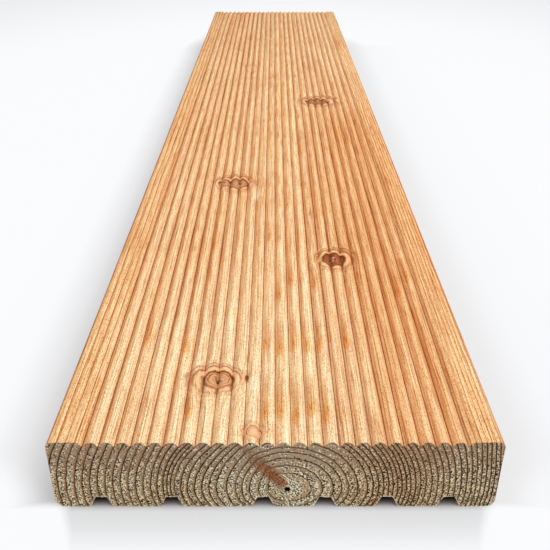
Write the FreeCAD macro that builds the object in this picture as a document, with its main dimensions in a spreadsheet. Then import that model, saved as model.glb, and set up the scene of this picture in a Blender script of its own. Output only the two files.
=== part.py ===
import FreeCAD, Part
import math
import os

import Sketcher
from FreeCAD import Vector

# Decking board: one planed softwood plank, ridged on its walking face and grooved underneath.
# X runs across the board, Y along it and Z up. The origin is the middle of the underside.

doc = FreeCAD.newDocument("decking_board")
sizes = doc.addObject("Spreadsheet::Sheet", "Sizes")

# Driving sizes, in millimetres and degrees
DRIVING_SIZES = (
    ("board_length", "765", "along the grain, end to end"),
    ("board_width", "145", "across the board, side to side"),
    ("board_thickness", "28", "underside to ridge crests"),
    ("top_edge_radius", "2.5", "round of the two long upper edges"),
    ("bottom_edge_radius", "3", "round of the two long lower edges"),
    ("plain_margin", "11.5", "least flat strip between a side and the outermost valley"),
    ("ridge_pitch", "5.06", "from one valley to the next"),
    ("valley_angle", "82", "between the two flanks of a valley"),
    ("crest_radius", "2.1", "round of a ridge between its flanks"),
    ("crest_flat", "0.5", "flat strip left by the planer along each crest"),
    ("relief_depth", "4.4", "underside to groove ceiling"),
    ("relief_ceiling", "3.7", "width of the groove ceiling"),
    ("relief_splay", "22", "lean of a groove flank from upright"),
    ("relief_lip_radius", "1", "round where a groove flank meets the underside"),
    ("left_relief_inset", "15.2", "left side to the middle of the first groove"),
    ("left_relief_pitch", "23.2", "between the grooves of the left group"),
    ("left_relief_count", "2", "grooves in the left group"),
    ("right_relief_inset", "15.3", "right side to the middle of the last groove"),
    ("right_relief_pitch", "20.4", "between the grooves of the right group"),
    ("wide_foot_least", "25", "least spacing between the two groups of grooves"),
    ("cutter_overrun", "1", "how far a cutter's profile stands clear of the face it cuts"),
)
for row, (alias, value, note) in enumerate(DRIVING_SIZES, start=1):
    sizes.set(f"A{row}", alias)
    sizes.set(f"B{row}", value)
    sizes.setAlias(f"B{row}", alias)
    sizes.set(f"C{row}", note)
doc.recompute()

# How many ridges fit between the plain margins, and how many grooves fit beside the left group
RIDGE_COUNT = "floor((Sizes.board_width - 2 * Sizes.plain_margin) / Sizes.ridge_pitch)"
LEFT_GROUP_END = "Sizes.left_relief_inset + (Sizes.left_relief_count - 1) * Sizes.left_relief_pitch"
RIGHT_GROUP_ROOM = (
    f"Sizes.board_width - ({LEFT_GROUP_END}) - Sizes.wide_foot_least - Sizes.right_relief_inset"
)
RIGHT_RELIEF_COUNT = f"floor(({RIGHT_GROUP_ROOM}) / Sizes.right_relief_pitch) + 1"

# Ends of a sketch element, and the sketch's own origin and axes, as the sketcher numbers them
START, END, CENTRE = 1, 2, 3
ORIGIN = (-1, 1)
X_AXIS = -1


def size(alias):
    return float(sizes.get(alias))


def origin_feature(body, role):
    return next(item for item in body.Origin.OriginFeatures if item.Role == role)


def section_sketch(body, name):
    """A sketch of the board's cross-section, with X across the board and Y up its thickness."""
    sketch = body.newObject("Sketcher::SketchObject", name)
    sketch.AttachmentSupport = [(origin_feature(body, "XZ_Plane"), "")]
    sketch.MapMode = "FlatFace"
    return sketch


def line(sketch, first, second):
    return sketch.addGeometry(Part.LineSegment(Vector(*first), Vector(*second)))


def arc(sketch, centre, radius, from_degrees, to_degrees):
    circle = Part.Circle(Vector(*centre), Vector(0, 0, 1), radius)
    span = (math.radians(from_degrees), math.radians(to_degrees))
    return sketch.addGeometry(Part.ArcOfCircle(circle, *span))


def relate(sketch, kind, *elements):
    sketch.addConstraint(Sketcher.Constraint(kind, *elements))


def dimension(sketch, name, kind, elements, expression):
    """A driven dimension: its value comes from the sheet through the expression."""
    value = sketch.evalExpression(expression)
    if kind == "Angle":
        value = math.radians(value)
    index = sketch.addConstraint(Sketcher.Constraint(kind, *elements, value))
    sketch.renameConstraint(index, name)
    sketch.setExpression(f"Constraints.{name}", expression)


def draw_plank_section(sketch):
    """The plank before grooving: a rectangle on the X axis with its four corners rounded."""
    half = size("board_width") / 2
    top = size("board_thickness")
    top_round = size("top_edge_radius")
    low_round = size("bottom_edge_radius")
    underside = line(sketch, (low_round - half, 0), (half - low_round, 0))
    low_right = arc(sketch, (half - low_round, low_round), low_round, 270, 360)
    right_side = line(sketch, (half, low_round), (half, top - top_round))
    top_right = arc(sketch, (half - top_round, top - top_round), top_round, 0, 90)
    face = line(sketch, (half - top_round, top), (top_round - half, top))
    top_left = arc(sketch, (top_round - half, top - top_round), top_round, 90, 180)
    left_side = line(sketch, (-half, top - top_round), (-half, low_round))
    low_left = arc(sketch, (low_round - half, low_round), low_round, 180, 270)

    loop = (underside, low_right, right_side, top_right, face, top_left, left_side, low_left)
    for element, following in zip(loop, loop[1:] + loop[:1]):
        relate(sketch, "Tangent", element, END, following, START)
    relate(sketch, "Horizontal", underside)
    relate(sketch, "Horizontal", face)
    relate(sketch, "Vertical", right_side)
    relate(sketch, "Vertical", left_side)
    relate(sketch, "PointOnObject", underside, START, X_AXIS)
    relate(sketch, "Equal", top_right, top_left)
    relate(sketch, "Equal", low_right, low_left)
    dimension(sketch, "top_edge_radius", "Radius", (top_right,), "Sizes.top_edge_radius")
    dimension(sketch, "bottom_edge_radius", "Radius", (low_right,), "Sizes.bottom_edge_radius")
    dimension(sketch, "thickness", "DistanceY", (*ORIGIN, face, START), "Sizes.board_thickness")
    dimension(sketch, "right_half", "DistanceX", (*ORIGIN, right_side, START), "Sizes.board_width / 2")
    dimension(sketch, "left_half", "DistanceX", (left_side, START, *ORIGIN), "Sizes.board_width / 2")


def draw_valley(sketch):
    """The valley nearest the left side: two straight flanks that run up into half crests."""
    middle = -sketch.evalExpression(RIDGE_COUNT) * size("ridge_pitch") / 2
    top = size("board_thickness")
    half_pitch = size("ridge_pitch") / 2
    radius = size("crest_radius")
    half_flat = size("crest_flat") / 2
    above = top + size("cutter_overrun")
    slope = 90 - size("valley_angle") / 2
    crest_centre = top - math.sqrt(radius**2 - half_flat**2)
    crest_turn = math.degrees(math.acos(half_flat / radius))
    flank_reach = radius * math.sin(math.radians(slope))
    flank_top = crest_centre + radius * math.cos(math.radians(slope))
    bottom = flank_top - (half_pitch - flank_reach) * math.tan(math.radians(slope))
    left_centre = middle - half_pitch
    right_centre = middle + half_pitch

    left_flank = line(sketch, (left_centre + flank_reach, flank_top), (middle, bottom))
    right_flank = line(sketch, (middle, bottom), (right_centre - flank_reach, flank_top))
    right_crest = arc(sketch, (right_centre, crest_centre), radius, 180 - crest_turn, 90 + slope)
    right_rise = line(sketch, (right_centre - half_flat, top), (right_centre - half_flat, above))
    cap = line(sketch, (right_centre - half_flat, above), (left_centre + half_flat, above))
    left_fall = line(sketch, (left_centre + half_flat, above), (left_centre + half_flat, top))
    left_crest = arc(sketch, (left_centre, crest_centre), radius, 90 - slope, crest_turn)

    relate(sketch, "Coincident", left_flank, END, right_flank, START)
    relate(sketch, "Tangent", right_flank, END, right_crest, END)
    relate(sketch, "Coincident", right_crest, START, right_rise, START)
    relate(sketch, "Coincident", right_rise, END, cap, START)
    relate(sketch, "Coincident", cap, END, left_fall, START)
    relate(sketch, "Coincident", left_fall, END, left_crest, END)
    relate(sketch, "Tangent", left_crest, START, left_flank, START)
    relate(sketch, "Vertical", right_rise)
    relate(sketch, "Vertical", left_fall)
    relate(sketch, "Horizontal", cap)
    relate(sketch, "Equal", left_crest, right_crest)
    dimension(sketch, "crest_radius", "Radius", (right_crest,), "Sizes.crest_radius")
    dimension(sketch, "first_valley", "DistanceX", (right_flank, START, *ORIGIN),
              f"{RIDGE_COUNT} * Sizes.ridge_pitch / 2")
    dimension(sketch, "left_half_pitch", "DistanceX", (left_crest, CENTRE, left_flank, END),
              "Sizes.ridge_pitch / 2")
    dimension(sketch, "right_half_pitch", "DistanceX", (right_flank, START, right_crest, CENTRE),
              "Sizes.ridge_pitch / 2")
    dimension(sketch, "left_half_flat", "DistanceX", (left_crest, CENTRE, left_crest, END),
              "Sizes.crest_flat / 2")
    dimension(sketch, "right_half_flat", "DistanceX", (right_crest, START, right_crest, CENTRE),
              "Sizes.crest_flat / 2")
    dimension(sketch, "left_crest_height", "DistanceY", (*ORIGIN, left_crest, END),
              "Sizes.board_thickness")
    dimension(sketch, "right_crest_height", "DistanceY", (*ORIGIN, right_crest, START),
              "Sizes.board_thickness")
    dimension(sketch, "overrun", "DistanceY", (right_rise, START, right_rise, END),
              "Sizes.cutter_overrun")
    dimension(sketch, "valley_angle", "Angle", (right_flank, START, left_flank, END),
              "Sizes.valley_angle")


def draw_relief(sketch, middle_expression):
    """One relief groove: a flat ceiling, splayed flanks and lips rounded into the underside."""
    middle = sketch.evalExpression(middle_expression)
    half = size("relief_ceiling") / 2
    depth = size("relief_depth")
    lip = size("relief_lip_radius")
    below = -size("cutter_overrun")
    splay = size("relief_splay")
    lean = math.radians(splay)
    flank_foot = lip * (1 - math.sin(lean))
    foot_reach = half + (depth - flank_foot) * math.tan(lean)
    lip_reach = foot_reach + lip * math.cos(lean)

    ceiling = line(sketch, (middle - half, depth), (middle + half, depth))
    right_flank = line(sketch, (middle + half, depth), (middle + foot_reach, flank_foot))
    right_lip = arc(sketch, (middle + lip_reach, lip), lip, 180 + splay, 270)
    right_fall = line(sketch, (middle + lip_reach, 0), (middle + lip_reach, below))
    sole = line(sketch, (middle + lip_reach, below), (middle - lip_reach, below))
    left_rise = line(sketch, (middle - lip_reach, below), (middle - lip_reach, 0))
    left_lip = arc(sketch, (middle - lip_reach, lip), lip, 270, 360 - splay)
    left_flank = line(sketch, (middle - foot_reach, flank_foot), (middle - half, depth))

    relate(sketch, "Coincident", ceiling, END, right_flank, START)
    relate(sketch, "Tangent", right_flank, END, right_lip, START)
    relate(sketch, "Coincident", right_lip, END, right_fall, START)
    relate(sketch, "Coincident", right_fall, END, sole, START)
    relate(sketch, "Coincident", sole, END, left_rise, START)
    relate(sketch, "Coincident", left_rise, END, left_lip, START)
    relate(sketch, "Tangent", left_lip, END, left_flank, START)
    relate(sketch, "Coincident", left_flank, END, ceiling, START)
    relate(sketch, "Horizontal", ceiling)
    relate(sketch, "Horizontal", sole)
    relate(sketch, "Vertical", right_fall)
    relate(sketch, "Vertical", left_rise)
    relate(sketch, "Equal", left_lip, right_lip)
    relate(sketch, "PointOnObject", right_lip, END, X_AXIS)
    relate(sketch, "PointOnObject", left_lip, START, X_AXIS)
    relate(sketch, "Vertical", right_lip, CENTRE, right_lip, END)
    relate(sketch, "Vertical", left_lip, CENTRE, left_lip, START)
    dimension(sketch, "lip_radius", "Radius", (right_lip,), "Sizes.relief_lip_radius")
    dimension(sketch, "depth", "DistanceY", (*ORIGIN, ceiling, START), "Sizes.relief_depth")
    dimension(sketch, "overrun", "DistanceY", (right_fall, END, right_fall, START),
              "Sizes.cutter_overrun")
    dimension(sketch, "right_splay", "Angle", (ceiling, END, right_flank, START),
              "90 + Sizes.relief_splay")
    dimension(sketch, "left_splay", "Angle", (left_flank, END, ceiling, START),
              "90 + Sizes.relief_splay")
    dimension(sketch, "ceiling_width", "DistanceX", (ceiling, START, ceiling, END),
              "Sizes.relief_ceiling")
    dimension(sketch, "middle", "DistanceX", (*ORIGIN, ceiling, START),
              f"{middle_expression} - Sizes.relief_ceiling / 2")


def cut_row(body, name, sketch, pitch, count, towards_left=False):
    """Run one profile right along the board, then repeat it across the width."""
    doc.recompute()
    uncut = body.Shape.Volume
    cut = body.newObject("PartDesign::Pocket", f"{name}_cut")
    cut.Profile = sketch
    cut.Type = "ThroughAll"
    cut.SideType = "Symmetric"
    doc.recompute()
    one_cut = uncut - cut.Shape.Volume

    row = body.newObject("PartDesign::LinearPattern", f"{name}_row")
    row.Originals = [cut]
    row.Direction = (origin_feature(body, "X_Axis"), [""])
    row.Reversed = towards_left
    row.Mode = "Spacing"
    row.setExpression("Offset", pitch)
    row.setExpression("Occurrences", count)
    body.Tip = row
    doc.recompute()
    removed = uncut - row.Shape.Volume
    if not math.isclose(removed, row.Occurrences * one_cut, rel_tol=0.001) or one_cut <= 0:
        raise RuntimeError(f"{name}: {row.Occurrences} cuts removed {removed:.1f} mm3, one {one_cut:.1f}")


def build_board():
    body = doc.addObject("PartDesign::Body", "decking_board")
    body.Label = "decking_board"

    section = section_sketch(body, "plank_section")
    draw_plank_section(section)
    plank = body.newObject("PartDesign::Pad", "plank")
    plank.Profile = section
    plank.SideType = "Symmetric"
    plank.setExpression("Length", "Sizes.board_length")

    valley = section_sketch(body, "valley_section")
    draw_valley(valley)
    cut_row(body, "valley", valley, "Sizes.ridge_pitch", f"{RIDGE_COUNT} + 1")

    left_relief = section_sketch(body, "left_relief_section")
    draw_relief(left_relief, "Sizes.left_relief_inset - Sizes.board_width / 2")
    cut_row(body, "left_relief", left_relief, "Sizes.left_relief_pitch", "Sizes.left_relief_count")

    right_relief = section_sketch(body, "right_relief_section")
    draw_relief(right_relief, "Sizes.board_width / 2 - Sizes.right_relief_inset")
    cut_row(body, "right_relief", right_relief, "Sizes.right_relief_pitch", RIGHT_RELIEF_COUNT,
            towards_left=True)
    return body


board = build_board()
board.Placement = FreeCAD.Placement()
doc.recompute()

# Every feature has to have worked before anything is written
for item in doc.Objects:
    if "Invalid" in item.State or "Error" in item.State:
        raise RuntimeError(f"{item.Label} failed: {item.State}")
    if item.isDerivedFrom("Sketcher::SketchObject") and not item.FullyConstrained:
        raise RuntimeError(f"{item.Label} is not fully constrained")
if board.Shape.isNull() or not board.Shape.isValid() or len(board.Shape.Solids) != 1:
    raise RuntimeError("the board is not one sound solid")

os.makedirs("parts", exist_ok=True)
board.Shape.exportStep(f"parts/{board.Label}.step")
box = board.Shape.BoundBox
print(f"{board.Label}: {box.XLength:.2f} x {box.YLength:.2f} x {box.ZLength:.2f} mm,"
      f" {board.Shape.Volume / 1000:.1f} cm3, {len(board.Shape.Faces)} faces")
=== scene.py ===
import itertools
import math
from typing import NamedTuple

import bpy
import numpy as np
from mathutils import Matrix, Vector
from mathutils.geometry import delaunay_2d_cdt


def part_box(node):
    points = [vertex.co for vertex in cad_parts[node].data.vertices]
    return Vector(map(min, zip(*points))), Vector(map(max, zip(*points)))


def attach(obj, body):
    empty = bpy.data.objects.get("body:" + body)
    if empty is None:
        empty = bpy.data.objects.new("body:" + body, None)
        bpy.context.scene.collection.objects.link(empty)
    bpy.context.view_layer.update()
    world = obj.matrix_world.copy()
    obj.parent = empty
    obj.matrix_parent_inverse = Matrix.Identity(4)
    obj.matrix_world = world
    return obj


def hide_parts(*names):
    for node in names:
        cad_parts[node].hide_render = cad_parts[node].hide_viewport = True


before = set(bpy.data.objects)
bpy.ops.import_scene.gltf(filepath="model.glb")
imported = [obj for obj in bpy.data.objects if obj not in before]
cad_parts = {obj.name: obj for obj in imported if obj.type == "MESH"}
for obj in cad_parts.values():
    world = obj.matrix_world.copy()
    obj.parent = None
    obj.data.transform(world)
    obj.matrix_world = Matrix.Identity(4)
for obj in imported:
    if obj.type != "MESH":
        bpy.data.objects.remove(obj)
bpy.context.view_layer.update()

SEED = 851
MM = 0.001

# The board's sizes in millimetres and degrees, as the solid has them
LOW, HIGH = (np.array(corner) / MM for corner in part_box("decking_board"))
WIDTH, LENGTH, THICKNESS = HIGH - LOW
TOP_EDGE_RADIUS = 2.5
BOTTOM_EDGE_RADIUS = 3.0
RIDGE_COUNT = 24
RIDGE_PITCH = 5.06
VALLEY_ANGLE = 82.0
CREST_RADIUS = 2.1
CREST_FLAT = 0.5
VALLEY_HEIGHT = 26.2
RIDGE_DEPTH = THICKNESS - VALLEY_HEIGHT
SHOULDER = (RIDGE_COUNT + 1) * RIDGE_PITCH / 2
WALKING_FACE_FROM = VALLEY_HEIGHT - 0.7
RELIEF_DEPTH = 4.4
RELIEF_CEILING = 3.7
RELIEF_SPLAY = 22.0
RELIEF_LIP_RADIUS = 1.0
RELIEF_MIDDLES = (-57.3, -34.1, -4.0, 16.4, 36.8, 57.2)

# The tree that the board was cut from, in millimetres and degrees; whole ring counts are the dark lines
PITH_X = 3.9
PITH_Z = 7.7
PITH_SWAY_X = 0.35
PITH_SWAY_Z = 0.2
YOUNG_RINGS = (0.0, 7.9, 11.5, 15.1, 17.9, 20.1)
LEFT_RINGS_PER_RIDGE = (1, 2, 2, 2, 3, 2, 2, 2, 2, 2, 2)
RIGHT_RINGS_PER_RIDGE = (1, 2.1, 2.2, 2.4, 2.4, 2.5, 2.5, 2.6, 2.8, 3.4, 3.6)
LEFT_OUTER_RING = 2.8
RIGHT_OUTER_RING = 1.3
TABLE_BEYOND = 50.0
OVAL_ABOVE = 1.1
OVAL_BELOW = 1.45
RING_WANDER = 0.13
RING_RIPPLE = 0.07
WHORL_LENGTH = 14.0
PITH_HOLE = 0.85
STREAK_TURN = 128.0

# Small holes in the knots and pale patches beside them: across, along, half width and half length
KNOT_HOLES = ((-20.24, 33.4, 0.7, 1.3), (25.3, 123.6, 0.45, 0.9), (-20.24, 217.0, 0.5, 1.1))
PALE_SPOTS = ((-10.3, 201.0, 2.0, 10.0), (-7.4, 30.0, 2.2, 5.0))

# The mesh: spacing of its points in millimetres, rings of points round the pith as shares of its hole and
# how many each has, steps in its arcs, how far its end edges are eased, and the angle from which it is sharp
ROW_SPACING = 8.0
KNOT_ROW_SPACING = 1.15
KNOT_ROW_FADE = 5.0
FOOT_SPACING = 3.5
SIDE_SPACING = 1.5
MARGIN_SPACING = 1.2
FLANK_SPACING = 0.8
CEILING_SPACING = 0.75
END_SPACING = 0.85
END_LOOSENESS = 0.12
PITH_RINGS = ((0.0, 1), (0.5, 6), (0.9, 12), (1.25, 12))
LOW_STEPS = 2
HIGH_STEPS = 3
ARRIS = 0.15
SHARP_ANGLE = 38.0

# Fine relief in millimetres: proud of the planed faces, behind the square cut, and depths of holes
LATE_WOOD_RISE = 0.04
WAVE_RISE = 0.03
KNOT_ROUGHNESS = 0.09
KNOT_GROOVE = 0.18
KNOT_HOLE_DEPTH = 1.4
SAW_SETBACK = 0.12
SAW_ROUGHNESS = 0.05
SAW_MARK = 0.03
PITH_HOLE_DEPTH = 1.3
TUFT_LENGTH = 0.4

# Tan tongues on the ridges, in millimetres: where their rows start, how far apart the rows are, the middle
# of the ridges that have most of them, and where they lie across a ridge
TONGUE_START = 5.0
TONGUE_SPACING = 39.5
TONGUE_MIDDLE = 7.0
TONGUE_ACROSS = 1.7

# Bands of the board's texture, from 0 to 1: the underside, right side, top and left side run lengthwise,
# and the near and far ends lie across them
BAND_MARGIN = 0.004
LONG_BANDS = ((0.53, 0.725), (0.485, 0.525), (0.004, 0.435), (0.44, 0.48))
END_BANDS = ((0.73, 0.86), (0.865, 0.995))

# The photograph's camera: millimetres from the foot of the near end's middle, degrees, and pixels
CAMERA_ASIDE = -0.28
CAMERA_BACK = 175.6
CAMERA_HEIGHT = 186.3
CAMERA_TILT = 29.23
CAMERA_TURN = -0.052
FOCAL_PIXELS = 736.5
IMAGE_PIXELS = 550
SENSOR_WIDTH = 36

# The studio: half the floor's width in metres, and the even light
FLOOR_HALF = 4.0
WORLD_COLOUR = (0.97, 0.985, 1.0, 1.0)
WORLD_STRENGTH = 0.55


class Branch(NamedTuple):
    """A branch out of the pith. Where the walking face cuts it, it shows as a knot of this half width
    and half length, in millimetres; lean is how far it runs along the board for each step upward. From 0
    to 1: how dark its heart is, how dead it is and so outlined, and how it pulls rings and fibres."""

    x: float
    along: float
    width: float
    length: float
    dark: float
    dead: float = 1.0
    lean: float = -0.6
    pull: float = 1.0


BRANCHES = (
    Branch(x=-6.8, along=5.6, width=2.5, length=2.6, lean=0.0, dark=0.0, dead=0.6, pull=0.4),
    Branch(x=-19.7, along=32.6, width=5.2, length=4.7, dark=0.05, dead=0.92),
    Branch(x=-10.1, along=34.0, width=0.7, length=1.7, dark=1.0, dead=0.45, pull=0.5),
    Branch(x=26.2, along=122.6, width=5.0, length=5.8, dark=0.9),
    Branch(x=-20.6, along=214.0, width=5.2, length=6.8, dark=0.3),
    Branch(x=-28.6, along=214.5, width=3.2, length=5.2, dark=0.25, dead=0.95, pull=0.6),
    Branch(x=-12.6, along=216.5, width=1.8, length=2.4, dark=0.3, dead=0.7, pull=0.3),
    Branch(x=30.6, along=378.5, width=7.8, length=7.6, dark=0.6),
    Branch(x=56.0, along=381.0, width=7.0, length=2.4, lean=0.0, dark=0.0, dead=0.0, pull=0.3),
    Branch(x=-22.0, along=491.0, width=4.0, length=4.0, dark=0.1, dead=0.3, pull=0.5),
)

# Whorls of branches, where the rings bulge: millimetres along the board, and the bulge in rings
WHORLS = ((36.0, 0.06), (128.0, 0.08), (220.0, 0.1), (380.0, 0.1), (492.0, 0.06), (640.0, 0.06))


def smooth_noise(points, seed):
    """Value noise between -1 and 1 on a unit lattice."""
    size = 32
    table = np.random.default_rng(seed).uniform(-1, 1, (size, size, size))
    cell = np.floor(points).astype(int)
    part = points - cell
    blend = part * part * (3 - 2 * part)
    total = np.zeros(len(points))
    for corner in itertools.product((0, 1), repeat=3):
        weight = np.prod(np.where(corner, blend, 1 - blend), axis=1)
        total += weight * table[tuple(((cell + corner) % size).T)]
    return total


def layered_noise(points, seed, layers=2):
    total = np.zeros(len(points))
    for layer in range(layers):
        total += smooth_noise(points * 2**layer, seed + layer) / 2**layer
    return total


def ease(low, high, value):
    """From 0 at low to 1 at high, and level beyond them."""
    part = np.clip((value - low) / (high - low), 0, 1)
    return part * part * (3 - 2 * part)


def bell(value, half):
    """1 at a value of zero, falling off smoothly over about half either way."""
    return np.exp(-((value / half) ** 2))


def ring_reach(off_x, off_z):
    """Distance from the pith, measured across: the rings are ovals, flatter towards the board's left side
    and taller towards its right one, and closer together just left of the pith."""
    off_x = off_x * (1 + 0.2 * ease(0, 6, -off_x) * ease(40, 12, -off_x))
    left = 0.26 * ease(30, 72, -off_x)
    right = 0.4 * ease(46, 66, off_x)
    squeeze = np.where(off_z > 0, OVAL_ABOVE + left - right, OVAL_BELOW)
    return np.hypot(off_x, squeeze * off_z)


def ring_table(rings_per_ridge, outer_ring):
    """Distances from the pith to its first rings, to the valleys left of it and beyond them, and the rings
    grown by each."""
    reaches = list(YOUNG_RINGS)
    rings = list(range(len(YOUNG_RINGS)))
    for valley, grown in enumerate(itertools.accumulate(rings_per_ridge), start=2):
        off_x = -valley * RIDGE_PITCH - PITH_X
        reaches.append(float(ring_reach(np.array(off_x), np.array(VALLEY_HEIGHT - PITH_Z))))
        rings.append(len(YOUNG_RINGS) + grown)
    reaches.append(reaches[-1] + TABLE_BEYOND)
    rings.append(rings[-1] + TABLE_BEYOND / outer_ring)
    return np.array(reaches), np.array(rings)


LEFT_TABLE = ring_table(LEFT_RINGS_PER_RIDGE, LEFT_OUTER_RING)
RIGHT_TABLE = ring_table(RIGHT_RINGS_PER_RIDGE, RIGHT_OUTER_RING)


def rings_grown(reach, side):
    """Rings between the pith and a point; side runs from 0 on the left to 1 on the right."""
    left = np.interp(reach, *LEFT_TABLE)
    right = np.interp(reach, *RIGHT_TABLE)
    return left + side * (right - left)


def from_pith(points):
    """How far points lie across and above the pith, which wanders a little along the board."""
    x, along, z = points.T
    sway_x = PITH_SWAY_X * np.sin(along / 170)
    sway_z = PITH_SWAY_Z * np.sin(along / 210 + 0.4)
    return x - PITH_X - sway_x, z - PITH_Z - sway_z


def right_side(off_x, off_z):
    """From 0 left of the pith to 1 right of it."""
    return ease(-0.5, 0.5, np.cos(np.arctan2(off_z, off_x)))


def stem_age(points):
    """The age of the stem's wood in rings, before its branches."""
    along = points[:, 1]
    off_x, off_z = from_pith(points)
    reach = ring_reach(off_x, off_z)
    wander = layered_noise(points / (30, 230, 30) + 7.3, SEED + 1)
    wandered = reach + RING_WANDER * wander * ease(2, 14, reach)
    age = rings_grown(wandered, right_side(off_x, off_z))
    ripple = layered_noise(points / (8, 50, 8) + 3.1, SEED + 2)
    age = age + RING_RIPPLE * ripple * ease(4, 12, reach)
    for whorl, swelling in WHORLS:
        age = age - swelling * bell(along - whorl, WHORL_LENGTH) * ease(6, 18, reach)
    return age


def ring_width(points):
    """Millimetres from one ring's dark line to the next."""
    step = 0.1
    age = stem_age(points)
    across = stem_age(points + (step, 0, 0)) - age
    upward = stem_age(points + (0, 0, step)) - age
    return step / np.maximum(np.hypot(across, upward), 0.1 * step)


def pits(points):
    """The pith's hole in both ends and the small holes in the knots, from 0 beside them to 1 inside."""
    x, along, z = points.T
    from_end = np.minimum(along, LENGTH - along)
    hole = ease(PITH_HOLE + 0.15, PITH_HOLE - 0.15, np.hypot(x - PITH_X, z - PITH_Z))
    total = hole * ease(3, 2, from_end)
    for hole_x, hole_along, width, length in KNOT_HOLES:
        distance = np.hypot((x - hole_x) / width, (along - hole_along) / length)
        total = np.maximum(total, ease(1.2, 0.5, distance) * (z > WALKING_FACE_FROM))
    return total


def near_streak(points):
    """The branch that the near end cuts lengthwise: its stain, and how far it bends the rings beside it."""
    off_x, off_z = from_pith(points)
    turn = math.radians(STREAK_TURN)
    outward = off_x * math.cos(turn) + off_z * math.sin(turn)
    aside = off_z * math.cos(turn) - off_x * math.sin(turn)
    bend = bell(aside, 2.6) * ease(3, 9, outward) * ease(26, 18, outward)
    half = 0.8 + 1.3 * ease(0, 7, outward) - 0.5 * ease(10, 21, outward)
    ragged = layered_noise(points / (1.6, 9, 1.6), SEED + 12)
    stain = ease(1.2, 0.8, np.abs(aside + 0.45 * ragged) / half)
    stain = stain * ease(0.8, 2.5, outward) * (1 - 0.45 * ease(8, 20, outward))
    return stain * ease(6, 2, points[:, 1]), bend * bell(points[:, 1], 14)


def branch_place(branch, points):
    """Distance from a branch's middle line in half widths, the side of it towards the far end (-1 to 1),
    the way out along it in millimetres, and that as a share of the way to the walking face. A branch stands
    square to the walking face where it comes out of it."""
    off_x, off_z = from_pith(points)
    aim_x = branch.x - PITH_X
    aim_z = THICKNESS - PITH_Z
    off_z = np.where(points[:, 2] > WALKING_FACE_FROM, aim_z, off_z)
    far = math.hypot(aim_x, aim_z)
    outward = (off_x * aim_x + off_z * aim_z) / far
    across = (off_z * aim_x - off_x * aim_z) / far
    lengthwise = points[:, 1] - branch.along - branch.lean * (points[:, 2] - THICKNESS)
    share = np.clip(outward / far, 0.02, 1.6)
    taper = 0.35 + 0.65 * share
    beside = across / (branch.width * aim_z / far) / taper
    ahead = lengthwise / branch.length / taper
    return np.hypot(beside, ahead), np.clip(ahead, -1, 1), outward, share


def fibre_across(points):
    """How far across the board the fibres at each point would lie if no knot pushed them aside."""
    x, along, z = points.T
    unbent = x.copy()
    for branch in BRANCHES:
        beside = x - branch.x
        beyond = (along - branch.along) * branch.width / branch.length / 1.2
        away = np.maximum(np.hypot(beside, beyond) / branch.width, 1)
        push = branch.pull / away**2 * bell(away - 1, 1.4)
        unbent -= 0.8 * beside * push * ease(12, 24, z)
    return unbent


def growth_fields(points):
    """For points (x, along, z) in millimetres: the tree's age there in rings, and its knots."""
    off_x, off_z = from_pith(points)
    side = right_side(off_x, off_z)
    streak, bend = near_streak(points)
    age = stem_age(points) - 0.2 * bend
    uneven = 1 + 0.05 * layered_noise(points / (4, 5, 4), SEED + 3)
    soft = 0.4
    knot_free = 3.0
    behind_pith = 60
    knot = np.full(len(points), knot_free)
    fields = {name: np.zeros(len(points)) for name in ("ahead", "dark", "dead")}
    for branch in BRANCHES:
        distance, ahead, outward, share = branch_place(branch, points)
        distance = distance * uneven
        there = ease(0.0, 2.0, outward)
        axis_age = rings_grown(np.maximum(outward, 0.01), side)
        inner = axis_age * (0.35 + 0.65 * distance) + 4 * np.maximum(distance - 1, 0)
        inner = inner + behind_pith * (1 - there)
        mix = np.clip(0.5 + 0.5 * (age - inner) / soft, 0, 1)
        age = age * (1 - mix) + inner * mix - soft * mix * (1 - mix)
        age = age - 1.1 * branch.pull * bell(distance, 1.45) * ease(0.15, 0.6, share)
        closer = (distance < knot) & (outward > 1)
        knot[closer] = distance[closer]
        fields["ahead"][closer] = ahead[closer]
        fields["dark"][closer] = branch.dark
        fields["dead"][closer] = branch.dead
    fields["knot"] = knot
    fields["growth"] = age
    fields["across"] = fibre_across(points)
    fields["ring_width"] = ring_width(points)
    fields["streak"] = streak
    fields["pit"] = pits(points)
    return fields


def arc(middle_x, middle_z, radius, start, end, steps):
    turns = np.radians(np.linspace(start, end, steps + 1))
    return [(middle_x + radius * math.cos(turn), middle_z + radius * math.sin(turn)) for turn in turns]


def straight(start, end, longest):
    """Points after start and before end, no further apart than longest."""
    pieces = max(1, math.ceil(math.dist(start, end) / longest))
    shares = [step / pieces for step in range(1, pieces)]
    return [(start[0] + (end[0] - start[0]) * s, start[1] + (end[1] - start[1]) * s) for s in shares]


def relief_outline(middle):
    """One groove of the underside, from its left lip to its right lip."""
    splay = math.radians(RELIEF_SPLAY)
    lip = RELIEF_LIP_RADIUS
    half = RELIEF_CEILING / 2
    foot = half + (RELIEF_DEPTH - lip * (1 - math.sin(splay))) * math.tan(splay)
    reach = foot + lip * math.cos(splay)
    left = arc(-reach, lip, lip, -90, -RELIEF_SPLAY, LOW_STEPS)
    corner = (-half, RELIEF_DEPTH)
    flank = left + straight(left[-1], corner, SIDE_SPACING) + [corner]
    ceiling = straight(corner, (half, RELIEF_DEPTH), CEILING_SPACING)
    mirrored = [(-x, z) for x, z in reversed(flank)]
    return [(middle + x, z) for x, z in flank + ceiling + mirrored]


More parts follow.
